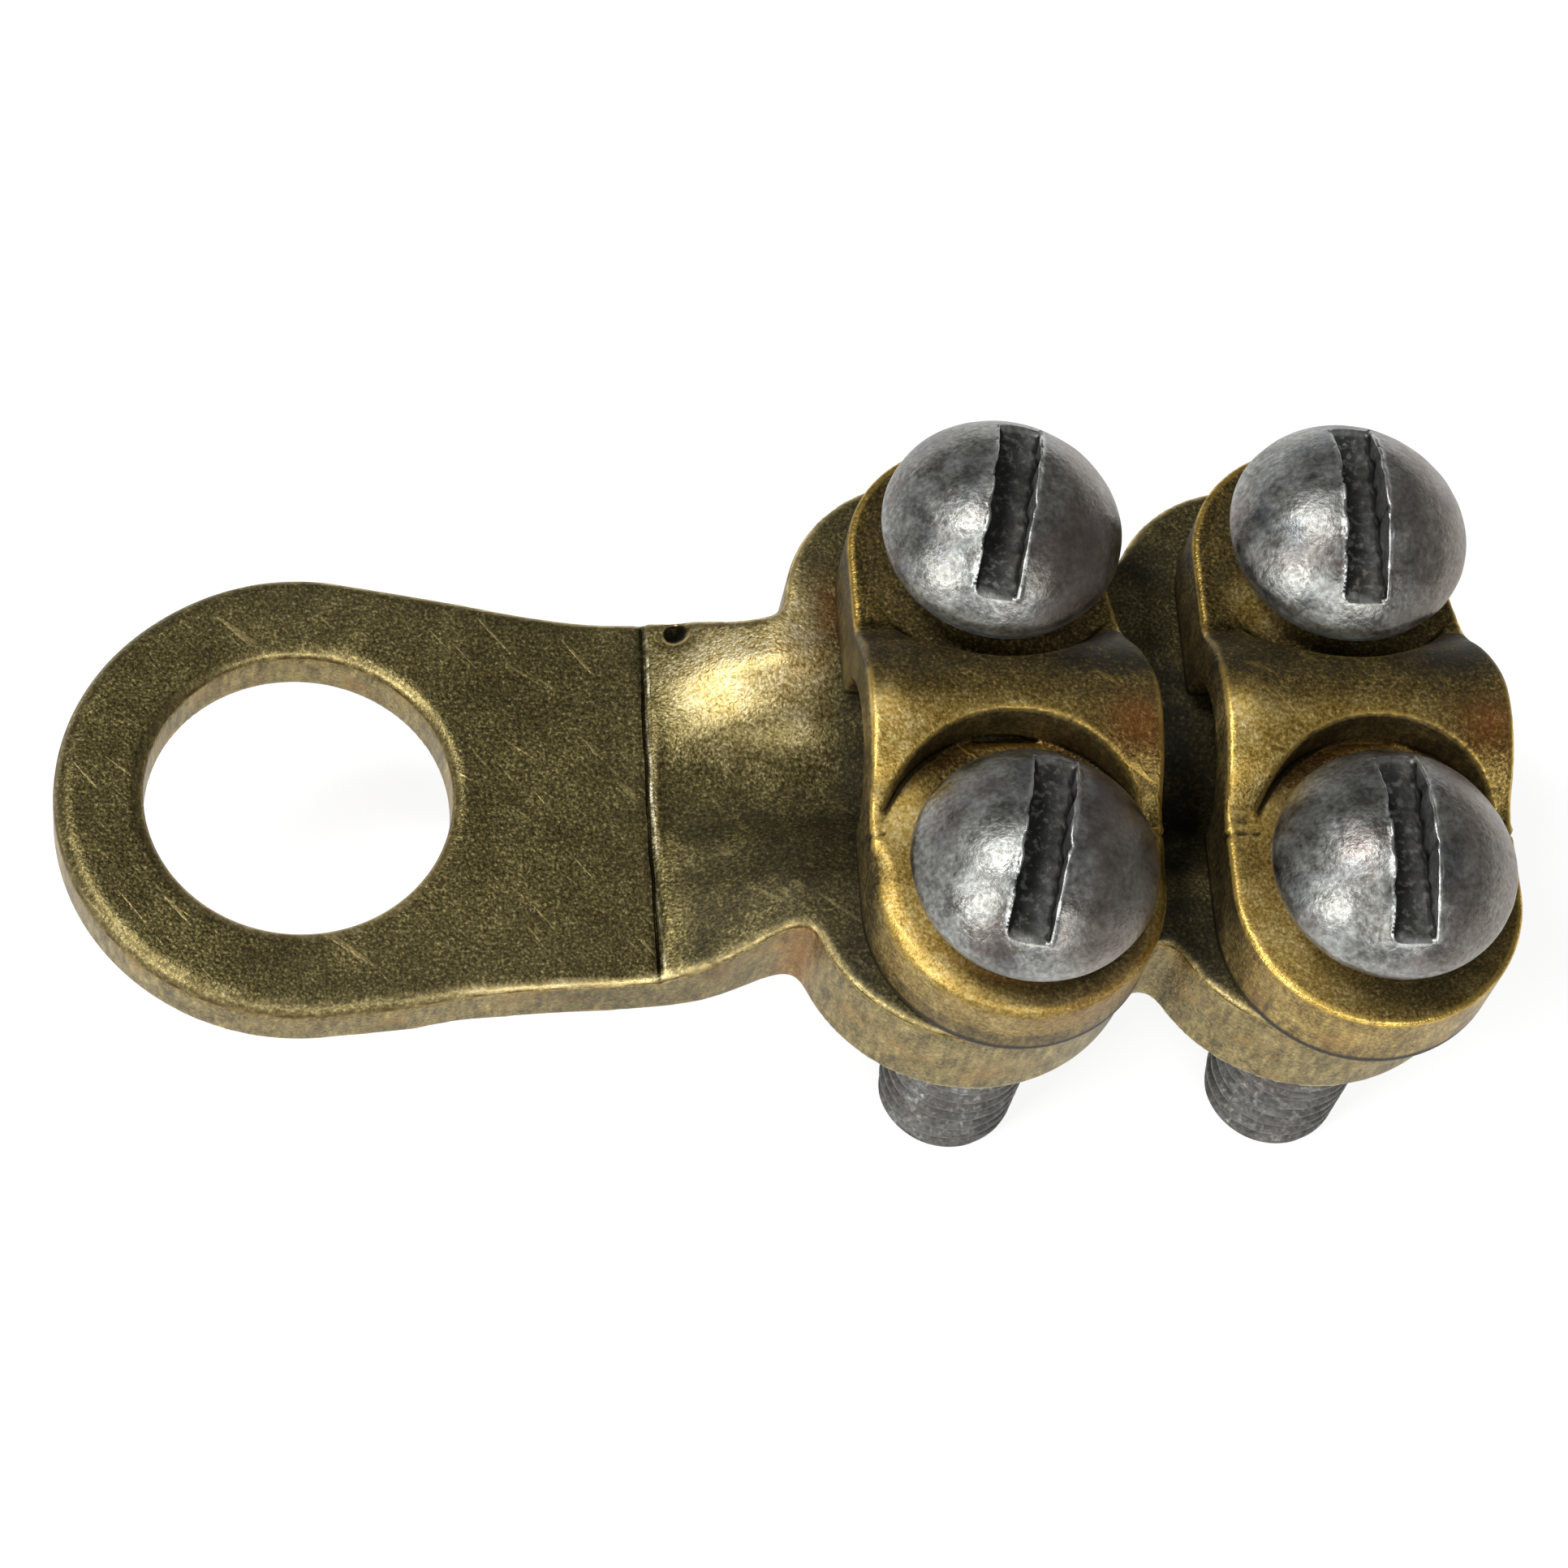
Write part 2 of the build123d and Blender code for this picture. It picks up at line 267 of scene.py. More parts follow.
def saddle_field(sx, near_y, r_side, r_pocket, pocket):
    edge = Plan(saddle_outline(sx, near_y), (sx - 5.83, -12.17), (sx + 5.83, 11.83), 0.08)

    def field(x, y, z):
        u = x - sx
        q = np.hypot(u, np.abs(y) - SCREW_Y)
        arch = np.hypot(y, z - (CREST - ARCH_R)) - ARCH_R
        arch = either(arch, z - S_TOP, 0.55) + 0 * u
        cut = to_pocket(u, y, pocket)
        arch = both(arch, cut, r_pocket)
        top = either(arch, z - S_TOP, 0.10)
        d = both(top, edge(x, y), 0.24 + (r_side - 0.24) * step(-y, 3.9, 5.6))
        d = both(d, S_Z0 - z, 0.16)
        d = both(d, PASS_R - np.hypot(y, np.maximum(z, PASS_Z) - PASS_Z), 0.25)
        # the foot of the arch stands out as a small step across the seat
        d = d + 0.08 * bump(y + 4.22, 0.08) * (cut < 0.25) * (z > S_TOP - 0.5)
        d = d - 0.03 * bump(y + 4.02, 0.09) * (cut < 0.25) * (z > S_TOP - 0.5)
        return np.maximum(d, S_HOLE - q)
    return field


def head_field(x, y, z):
    """A slotted round head standing on z 0, the slot along y."""
    r = np.hypot(x, y)
    R = (HEAD_R**2 + DOME_H**2) / (2 * DOME_H)
    top = RIM + DOME_H
    dome = np.hypot(r, z - (top - R)) - R
    side = r - (HEAD_R - 0.40 * np.clip(1 - z / RIM, 0, 1) ** 1.7)
    d = both(dome, side, 0.14)
    d = both(d, -z, 0.14)
    wob = 0.05 * np.sin(y * 2.3 + 0.5) + 0.03 * np.sin(y * 6.1) + 0.02 * np.sin(y * 11.0 + x * 3)
    slot = both(np.abs(x + 0.6 * wob) - SLOT_W / 2 + 0.03 * np.sin(y * 5.2 + 1.3), top - SLOT_D - z + wob * 0.6, 0.10)
    d = both(d, -slot, 0.05)
    # burrs pushed up along the slot
    right = np.hypot(x - SLOT_W / 2 - 0.06, dome) - (0.065 + 0.03 * np.sin(y * 3.1) + 0.02 * np.sin(y * 7.7))
    left = np.hypot(x + SLOT_W / 2 + 0.05, dome) - (0.035 + 0.025 * np.sin(y * 4.3 + 1.0))
    d = either(d, np.where(z > top - SLOT_D, right, 1.0), 0.08)
    d = either(d, np.where(z > top - SLOT_D, left, 1.0), 0.08)
    return d


# ------------------------------------------------------------------- meshing
CORNERS = [(i, j, k) for i in (0, 1) for j in (0, 1) for k in (0, 1)]
EDGES = [(a, b) for a in CORNERS for b in CORNERS if sum(b) - sum(a) == 1
         and all(b[i] >= a[i] for i in range(3))]


def skin(field, lo, hi, h):
    """Quads on the field's zero level, one point in each cell that it crosses."""
    lo = np.array(lo, float)
    n = np.ceil((np.array(hi) - lo) / h).astype(int) + 1
    axes = [lo[i] + h * np.arange(n[i]) for i in range(3)]
    D = field(*np.meshgrid(*axes, indexing="ij"))
    inside = D < 0
    m = n - 1
    total = sum(inside[i:m[0] + i, j:m[1] + j, k:m[2] + k].astype(int) for i, j, k in CORNERS)
    cells = np.argwhere((total > 0) & (total < 8))
    index = -np.ones(m, int)
    index[tuple(cells.T)] = np.arange(len(cells))
    acc, count = np.zeros((len(cells), 3)), np.zeros(len(cells))
    for a, b in EDGES:
        da, db = D[tuple((cells + a).T)], D[tuple((cells + b).T)]
        hit = (da < 0) != (db < 0)
        t = np.where(hit, da / np.where(hit, da - db, 1), 0)
        p = np.array(a) + t[:, None] * (np.array(b) - np.array(a))
        acc[hit] += p[hit]
        count += hit
    verts = lo + h * (cells + acc / count[:, None])
    quads = []
    for axis in range(3):
        o1, o2 = (axis + 1) % 3, (axis + 2) % 3
        lowside = np.take(inside, range(n[axis] - 1), axis)
        highside = np.take(inside, range(1, n[axis]), axis)
        e = np.argwhere(lowside != highside)
        ok = (e[:, o1] > 0) & (e[:, o2] > 0) & (e[:, o1] < m[o1]) & (e[:, o2] < m[o2])
        e = e[ok]
        out = lowside[tuple(e.T)]
        around = []
        for s1, s2 in ((0, 0), (-1, 0), (-1, -1), (0, -1)):
            c = e.copy()
            c[:, o1] += s1
            c[:, o2] += s2
            around.append(index[tuple(c.T)])
        q = np.stack(around, 1)
        q[~out] = q[~out][:, ::-1]
        quads.append(q)
    quads = np.concatenate(quads)
    for _ in range(3):
        verts = verts - onto(field, verts, 0.6 * h)
    return verts, quads


def slope(field, p, e=0.01):
    x, y, z = p.T
    return np.stack([(field(x + e, y, z) - field(x - e, y, z)),
                     (field(x, y + e, z) - field(x, y - e, z)),
                     (field(x, y, z + e) - field(x, y, z - e))], 1) / (2 * e)


def onto(field, p, most):
    d = field(*p.T)
    g = slope(field, p)
    s = d[:, None] * g / np.maximum((g * g).sum(1), 0.05)[:, None]
    length = np.linalg.norm(s, axis=1)
    return s * np.minimum(1, most / np.maximum(length, 1e-9))[:, None]


def bend(field, p, h):
    """How far the surface is from flat: above 0 on outside edges, below 0 in corners."""
    x, y, z = p.T
    return (field(x + h, y, z) + field(x - h, y, z) + field(x, y + h, z) + field(x, y - h, z)
            + field(x, y, z + h) + field(x, y, z - h) - 6 * field(x, y, z)) / h


def mesh_object(name, verts, faces, marks, material):
    me = bpy.data.meshes.new(name)
    me.from_pydata((verts * MM).tolist(), [], faces.tolist() if hasattr(faces, "tolist") else faces)
    me.validate()
    me.polygons.foreach_set("use_smooth", [True] * len(me.polygons))
    for key, values in marks.items():
        a = me.attributes.new(key, "FLOAT", "POINT")
        a.data.foreach_set("value", np.asarray(values, np.float32))
    me.materials.append(material)
    me.update()
    ob = bpy.data.objects.new(name, me)
    bpy.context.scene.collection.objects.link(ob)
    return ob


def wobble(p, scale, seed):
    return np.array([noise.noise(Vector((float(a) * scale + seed, float(b) * scale - seed,
                                         float(c) * scale + 2 * seed)))
                     for a, b, c in p])


# ----------------------------------------------------------------- materials
def srgb(r, g, b):
    def lin(c):
        c /= 255.0
        return c / 12.92 if c <= 0.04045 else ((c + 0.055) / 1.055) ** 2.4
    return (lin(r), lin(g), lin(b), 1.0)


class Nodes:
    """Short hand for building a node tree."""

    def __init__(self, name):
        self.mat = bpy.data.materials.new(name)
        self.mat.use_nodes = True
        self.tree = self.mat.node_tree
        self.tree.nodes.clear()

    def new(self, kind, **values):
        node = self.tree.nodes.new(kind)
        for key, value in values.items():
            if key.startswith("_"):
                setattr(node, key[1:], value)
        return node

    def put(self, socket, value):
        if isinstance(value, bpy.types.NodeSocket):
            self.tree.links.new(value, socket)
        elif value is not None:
            socket.default_value = value

    def math(self, op, a, b=None, c=None, clamp=False):
        n = self.new("ShaderNodeMath", _operation=op, _use_clamp=clamp)
        for s, v in zip(n.inputs, (a, b, c)):
            self.put(s, v)
        return n.outputs[0]

    def coords(self, scale=(1, 1, 1), turn=0.0):
        if not hasattr(self, "_obj"):
            self._obj = self.new("ShaderNodeTexCoord").outputs["Object"]
        vector = self._obj
        if turn:
            first = self.new("ShaderNodeMapping")
            self.put(first.inputs["Vector"], vector)
            first.inputs["Rotation"].default_value = (0, 0, math.radians(turn))
            vector = first.outputs[0]
        n = self.new("ShaderNodeMapping")
        self.put(n.inputs["Vector"], vector)
        n.inputs["Scale"].default_value = scale
        return n.outputs[0]

    def weigh(self, *pairs):
        total = None
        for value, weight in pairs:
            part = self.math("MULTIPLY", value, weight)
            total = part if total is None else self.math("ADD", total, part)
        return total

    def noise(self, scale, detail=3.0, rough=0.5, stretch=(1, 1, 1), distort=0.0, where=None):
        n = self.new("ShaderNodeTexNoise")
        self.put(n.inputs["Vector"], where or self.coords(stretch))
        n.inputs["Scale"].default_value = scale
        n.inputs["Detail"].default_value = detail
        n.inputs["Roughness"].default_value = rough
        n.inputs["Distortion"].default_value = distort
        return n.outputs["Fac"]

    def cells(self, scale, feature="F1", stretch=(1, 1, 1), smooth=None):
        n = self.new("ShaderNodeTexVoronoi", _feature=feature)
        self.put(n.inputs["Vector"], self.coords(stretch))
        n.inputs["Scale"].default_value = scale
        if smooth is not None:
            n.inputs["Smoothness"].default_value = smooth
        return n.outputs["Distance"]

    def mark(self, name):
        return self.new("ShaderNodeAttribute", _attribute_name=name).outputs["Fac"]

    def ramp(self, fac, stops, mode="LINEAR"):
        n = self.new("ShaderNodeValToRGB")
        n.color_ramp.interpolation = mode
        els = n.color_ramp.elements
        while len(els) < len(stops):
            els.new(0.5)
        for el, (pos, col) in zip(els, stops):
            el.position = pos
            el.color = col if len(col) == 4 else (*col, 1)
        self.put(n.inputs["Fac"], fac)
        return n.outputs["Color"]

    def span(self, value, a, b, c=0.0, d=1.0, smooth=False):
        n = self.new("ShaderNodeMapRange", _clamp=True,
                     _interpolation_type="SMOOTHSTEP" if smooth else "LINEAR")
        self.put(n.inputs["Value"], value)
        for s, v in zip(("From Min", "From Max", "To Min", "To Max"), (a, b, c, d)):
            n.inputs[s].default_value = v
        return n.outputs["Result"]

    def mix(self, fac, a, b, mode="MIX"):
        n = self.new("ShaderNodeMix", _data_type="RGBA", _blend_type=mode)
        self.put(n.inputs["Factor"], fac)
        self.put(n.inputs[6], a)
        self.put(n.inputs[7], b)
        return n.outputs[2]

    def bump(self, height, strength, distance, after=None):
        n = self.new("ShaderNodeBump")
        n.inputs["Strength"].default_value = strength
        n.inputs["Distance"].default_value = distance
        self.put(n.inputs["Height"], height)
        if after is not None:
            self.put(n.inputs["Normal"], after)
        return n.outputs["Normal"]

    def finish(self, color, rough, normal, metallic=1.0, **extra):
        p = self.new("ShaderNodeBsdfPrincipled")
        self.put(p.inputs["Base Color"], color)
        self.put(p.inputs["Roughness"], rough)
        self.put(p.inputs["Normal"], normal)
        self.put(p.inputs["Metallic"], metallic)
        p.inputs["Specular IOR Level"].default_value = 0.25
        for key, value in extra.items():
            p.inputs[key.replace("_", " ")].default_value = value
        out = self.new("ShaderNodeOutputMaterial")
        self.tree.links.new(p.outputs[0], out.inputs[0])
        return self.mat


def brass(name, top, wall, edge, lug=False):
    """Tarnished brass: speckled olive faces, paler sheared walls, rubbed gold edges."""
    n = Nodes(name)
    convex, hollow, up = n.mark("convex"), n.mark("hollow"), n.mark("up")
    soot, warm, bright = n.mark("soot"), n.mark("warm"), n.mark("bright")
    clouds = n.noise(200, 3, 0.5)
    patch = n.noise(900, 3, 0.55)
    grain = n.noise(6500, 2, 0.6)
    speck = n.noise(10500, 1, 0.5)
    body = n.weigh((clouds, 0.16), (patch, 0.17), (grain, 0.33), (speck, 0.34))
    tone = n.ramp(body, [(0.40, top[0]), (0.49, top[1]), (0.56, top[2]), (0.65, top[3])])
    # sheared walls
    streak = n.noise(3800, 2, 0.55, stretch=(1, 1, 0.3))
    side = n.ramp(n.weigh((streak, 0.3), (patch, 0.2), (grain, 0.3), (speck, 0.2)),
                  [(0.40, wall[0]), (0.49, wall[1]), (0.57, wall[2]), (0.66, wall[3])])
    ochre = n.span(n.noise(620, 3, 0.6), 0.52, 0.66)
    side = n.mix(n.math("MULTIPLY", ochre, 0.26), side, srgb(170, 126, 66))
    upright = n.span(up, 0.55, 0.25, 0.0, 1.0, True)
    color = n.mix(upright, tone, side)
    # painted highlights where marked, then places that are warmer in tone
    color = n.mix(n.math("MULTIPLY", bright, 0.85, clamp=True), color,
                  n.ramp(n.weigh((patch, 0.35), (grain, 0.4), (speck, 0.25)),
                         [(0.38, edge[0]), (0.50, edge[1]), (0.62, edge[2])]))
    color = n.mix(n.math("MULTIPLY", warm, 0.6, clamp=True), color, srgb(176, 104, 52))
    rub = n.math("MULTIPLY", n.span(convex, 0.25, 1.1, 0, 1, True),
                 n.span(n.noise(1500, 4, 0.65), 0.32, 0.56, 0.35, 1))
    color = n.mix(n.math("MULTIPLY", rub, 0.85), color, edge[1])
    # fine scratches that cross the faces at two slants
    lines = None
    for turn, seed in ((38, 1.0), (52, 1.7)):
        hair = n.noise(2600 * seed, 1, 0.4, where=n.coords((0.055, 1.0, 1.0), turn))
        where = n.span(n.noise(420 * seed, 2, 0.5), 0.50, 0.60)
        one = n.math("MULTIPLY", n.span(hair, 0.67, 0.72), where)
        lines = one if lines is None else n.math("MAXIMUM", lines, one)
    scratch = n.math("MULTIPLY", lines, n.math("SUBTRACT", 1.0, upright, clamp=True))
    color = n.mix(n.math("MULTIPLY", scratch, 0.3), color, edge[1])
    if lug:
        # sheared lip under the rolled edge
        lip = n.math("MULTIPLY", n.span(up, 0.16, 0.30, 0, 1, True), n.span(up, 0.62, 0.36, 0, 1, True))
        lip = n.math("MULTIPLY", lip, n.span(n.noise(900, 3, 0.6), 0.42, 0.58, 0.15, 0.8))
        color = n.mix(lip, color, srgb(74, 52, 24))
    # painted shade in corners, then painted shade and soot where it is marked
    corner_shade = n.math("MULTIPLY", n.span(hollow, 0.12, 0.9, 0, 1, True), 0.85)
    color = n.mix(corner_shade, color, srgb(30, 24, 12))
    broken = n.span(n.weigh((patch, 0.5), (grain, 0.5)), 0.38, 0.60, 1.0, 0.72)
    shade_and_dirt = n.math("MULTIPLY", soot, broken, clamp=True)
    color = n.mix(shade_and_dirt, color, srgb(33, 30, 20))
    hollow_mark = None
    if not lug:
        # shadow line where the saddle sits on the ears
        pos = n.new("ShaderNodeSeparateXYZ")
        n.put(pos.inputs[0], n.coords())
        wander = n.math("MULTIPLY", n.noise(500, 2, 0.5), 0.00022)
        foot = n.span(n.math("SUBTRACT", pos.outputs[2], wander), (S_Z0 + 0.20) * MM, (S_Z0 + 0.42) * MM, 1, 0, True)
        foot = n.math("MULTIPLY", foot, 0.95)
        color = n.mix(foot, color, srgb(30, 25, 14))
        shade_and_dirt = n.math("MAXIMUM", shade_and_dirt, foot)
    if lug:
        pos = n.new("ShaderNodeSeparateXYZ")
        n.put(pos.inputs[0], n.coords())
        px, py, pz = pos.outputs
        on_top = n.span(up, 0.75, 0.95)
        # the pressed line, with painted shade in it and a painted highlight on the broken lip behind it
        wander = n.math("MULTIPLY", n.math("SUBTRACT", n.noise(260, 2, 0.5), 0.5), 0.0004)
        at = n.math("SUBTRACT", n.math("ADD", px, wander), CREASE_X * MM)
        crease_shade = n.span(n.math("ABSOLUTE", at), 0.00002, 0.00007, 1, 0, True)
        lip_highlight = n.span(n.math("ABSOLUTE", n.math("SUBTRACT", at, 0.00017)), 0.00002, 0.00007, 1, 0, True)
        lip_highlight = n.math("MULTIPLY", lip_highlight, n.span(n.noise(1900, 3, 0.6), 0.40, 0.56, 0.1, 1))
        color = n.mix(n.math("MULTIPLY", n.math("MULTIPLY", lip_highlight, on_top), 0.9), color, edge[2])
        color = n.mix(n.math("MULTIPLY", n.math("MULTIPLY", crease_shade, on_top), 0.92), color, srgb(24, 20, 11))
        # punch mark: painted shade in the pit, a painted highlight on the near side of its rim
        dx = n.math("SUBTRACT", px, 13.2 * MM)
        dy = n.math("SUBTRACT", py, 5.98 * MM)
        far = n.math("SQRT", n.math("ADD", n.math("MULTIPLY", dx, dx), n.math("MULTIPLY", dy, dy)))
        pit = n.math("MULTIPLY", n.span(far, 0.00030, 0.00042, 1, 0, True), n.span(pz, 0.0012, 0.0018))
        rim_highlight = n.math("MULTIPLY", n.span(n.math("ABSOLUTE", n.math("SUBTRACT", far, 0.00046)),
                                         0.00002, 0.00008, 1, 0, True),
                      n.math("MULTIPLY", n.span(dy, 0.0, -0.0003), n.span(pz, 0.0012, 0.0018)))
        color = n.mix(n.math("MULTIPLY", rim_highlight, 0.8), color, edge[1])
        color = n.mix(n.math("MULTIPLY", pit, 0.96), color, srgb(18, 15, 9))
        hollow_mark = n.math("SUBTRACT", 1.0, n.math("MAXIMUM", pit, n.math("MULTIPLY", crease_shade, on_top)))
    rough = n.math("ADD", n.span(grain, 0.3, 0.7, 0.36, 0.50), n.math("MULTIPLY", shade_and_dirt, 0.12))
    rough = n.math("SUBTRACT", rough, n.math("MULTIPLY", rub, 0.10))
    normal = n.bump(n.weigh((grain, 0.6), (speck, 0.4)), 0.6, 0.00005)
    normal = n.bump(n.math("MULTIPLY", streak, upright), 0.4, 0.00006, normal)
    normal = n.bump(scratch, 0.25, 0.00003, normal)
    normal = n.bump(clouds, 0.2, 0.00012, normal)
    if hollow_mark is not None:
        normal = n.bump(hollow_mark, 0.7, 0.00012, normal)
    # the marked shade and dirt, and the matt patches under the painted highlights, lose their metal sheen
    matt = n.weigh((shade_and_dirt, 0.9), (n.mark("dull"), 0.75))
    return n.finish(color, rough, normal, n.math("SUBTRACT", 1.0, matt, clamp=True))


def steel(name):
    """Blued steel worn to gunmetal grey."""
    n = Nodes(name)
    convex, hollow = n.mark("convex"), n.mark("hollow")
    soot, bright = n.mark("soot"), n.mark("bright")
    clouds = n.noise(300, 3, 0.5)
    patch = n.noise(1100, 3, 0.55)
    fine = n.noise(5200, 2, 0.6)
    dimple = n.cells(1300, "SMOOTH_F1", smooth=0.7)
    tone = n.ramp(n.weigh((clouds, 0.26), (patch, 0.34), (fine, 0.40)),
                  [(0.40, srgb(104, 103, 98)), (0.48, srgb(136, 136, 131)), (0.55, srgb(158, 159, 155)),
                   (0.65, srgb(190, 193, 189))])
    blue = n.span(n.noise(560, 2, 0.5), 0.55, 0.68)
    tone = n.mix(n.math("MULTIPLY", blue, 0.30), tone, srgb(96, 112, 126))
    wine = n.span(n.noise(330, 2, 0.5, where=n.coords((1, -1, 1.3))), 0.50, 0.66)
    tone = n.mix(n.math("MULTIPLY", wine, 0.36), tone, srgb(112, 94, 90))
    # the side away from the palm is browner
    tone = n.mix(n.math("MULTIPLY", n.mark("warm"), 0.45, clamp=True), tone, srgb(138, 124, 112))
    rub = n.math("MULTIPLY", n.span(convex, 0.6, 1.7, 0, 1, True),
                 n.span(n.noise(1500, 3, 0.6), 0.38, 0.6, 0.15, 1))
    color = n.mix(n.math("MULTIPLY", rub, 0.75), tone, srgb(206, 208, 206))
    # painted highlights where marked, broken up by noise
    broken = n.span(n.noise(2300, 2, 0.6), 0.44, 0.60, 0.12, 1.0)
    color = n.mix(n.math("MULTIPLY", n.math("MULTIPLY", bright, broken), 0.8, clamp=True), color,
                  srgb(214, 214, 208))
    # painted shade in corners and thread roots
    corner_shade = n.math("MULTIPLY", n.span(hollow, 0.25, 1.3, 0, 1, True), 0.9)
    color = n.mix(corner_shade, color, srgb(26, 25, 22))
    # painted shade and dirt where marked
    spots = n.span(n.noise(3600, 2, 0.6), 0.52, 0.66, 1.0, 0.45)
    shade_and_dirt = n.math("MULTIPLY", soot, spots, clamp=True)
    color = n.mix(shade_and_dirt, color, srgb(31, 31, 27))
    rough = n.math("ADD", n.span(patch, 0.35, 0.65, 0.33, 0.46), n.math("MULTIPLY", shade_and_dirt, 0.20))
    normal = n.bump(dimple, 0.22, 0.00008)
    normal = n.bump(fine, 0.45, 0.00004, normal)
    # the marked shade and dirt lose their metal sheen
    metal = n.math("SUBTRACT", 1.0, n.math("MULTIPLY", shade_and_dirt, 0.9), clamp=True)
    return n.finish(color, rough, normal, metal)


lug_mat = brass("lug brass",
                (srgb(70, 63, 40), srgb(100, 91, 58), srgb(134, 122, 78), srgb(200, 184, 126)),
                (srgb(88, 77, 48), srgb(128, 114, 74), srgb(158, 141, 92), srgb(194, 176, 122)),
                (srgb(176, 148, 76), srgb(238, 214, 148), srgb(254, 246, 216)), lug=True)
saddle_mat = brass("saddle brass",
                   (srgb(70, 60, 35), srgb(104, 89, 50), srgb(142, 120, 68), srgb(206, 180, 108)),
                   (srgb(86, 72, 40), srgb(132, 112, 64), srgb(170, 146, 86), srgb(212, 186, 120)),
                   (srgb(168, 132, 54), srgb(224, 188, 98), srgb(252, 232, 168)))
screw_mat = steel("screw steel")

# -------------------------------------------------------------------- pieces
h_lug, h_saddle, h_head = ((0.2, 0.13, 0.1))


def marks_of(field, verts):
    k = bend(field, verts, 0.22)
    g = slope(field, verts)
    up = g[:, 2] / np.maximum(np.linalg.norm(g, axis=1), 1e-6)
    zero = np.zeros(len(verts))
    return {"convex": np.clip(k, 0, 3), "hollow": np.clip(-k, 0, 3), "up": np.abs(up),
            "soot": zero, "warm": zero, "bright": zero, "dull": zero}, g


def spot(p, x, y, rx, ry, z=None, rz=1.0):
    """A soft patch round a point, 1 in its middle."""
    q = ((p[:, 0] - x) / rx) ** 2 + ((p[:, 1] - y) / ry) ** 2
    if z is not None:
        q = q + ((p[:, 2] - z) / rz) ** 2
    return np.exp(-q)


def light_and_tone_lug(p, marks):
    x, y, z = p.T
    ay = np.abs(y)
    up = marks["up"]
    top = step(up, 0.55, 0.8) * (z > 1.5)
    # painted shade and soot: darker on the far side of the eye and neck, on the near side of the eye and neck, and
    # just before the crease
    soot = 0.42 * step(y, 4.0, 8.2) * step(x, 19, 2) * step(x, -9, 0)
    soot = soot + 0.30 * step(-y, 3.5, 6.5) * step(x, -4, 2) * step(x, 12, 9)
    soot = soot + 0.20 * step(x, 8.5, 11.9) * (x < CREASE_X) * step(-y, 8, 2)
    # painted shade on the near half of the ramp and the tops of the ears
    soot = soot + 0.62 * step(x, 12.2, 13.6) * step(y, 0.9, -1.3) * step(x, 20.0, 18.0)
    soot = soot + 0.22 * spot(p, 16.9, -2.2, 1.8, 1.8)
    soot = soot + 0.55 * step(x, 17.6, 19.0) * step(-y, 4.0, 6.0)
    soot = soot + 0.50 * step(x, 17.0, 18.4) * step(y, 6.6, 8.0)
    # painted shade in the valleys between the ears and in the trough under the saddles
    soot = soot + 0.52 * step(x, 27.0, 28.2) * step(x, 31.5, 30.4) * step(ay, 9.4, 8.0)
    soot = soot + 0.75 * step(x, 18.2, 19.0) * step(x, 41.5, 40.5) * step(ay, 4.6, 3.2)
    shade = 0.30 * step(x, 6.0, 9.0) * step(x, 16.4, 14.0) * (y < 0) * step(up, 0.6, 0.3)
    marks["soot"] = np.clip(soot * top + shade, 0, 1)
    # painted highlights on the far slope of the ramp and by the far notch
    marks["bright"] = np.clip((0.75 * spot(p, 14.7, 4.0, 1.4, 1.8) + 0.85 * spot(p, 17.2, 4.6, 0.9, 2.2)
                               + 0.70 * spot(p, 16.9, 6.5, 0.8, 0.8)) * top, 0, 1)
    # painted highlight along the near bevel of eye and neck, made matt so that it reads bright
    bevel = step(marks["convex"], 0.25, 0.8) * step(-y, 2, 5) * step(x, 15, 11) * (z > 1.0)
    marks["bright"] = np.clip(marks["bright"] + 0.65 * bevel, 0, 1)
    marks["dull"] = 0.45 * bevel
    marks["warm"] = np.clip((0.55 * spot(p, 18.5, 6.0, 0.6, 1.3) + 0.2 * spot(p, 17.2, 4.4, 0.8, 1.6)) * top
                            + 0.45 * spot(p, 16.9, -6.0, 0.8, 0.7) * (1 - top), 0, 1)


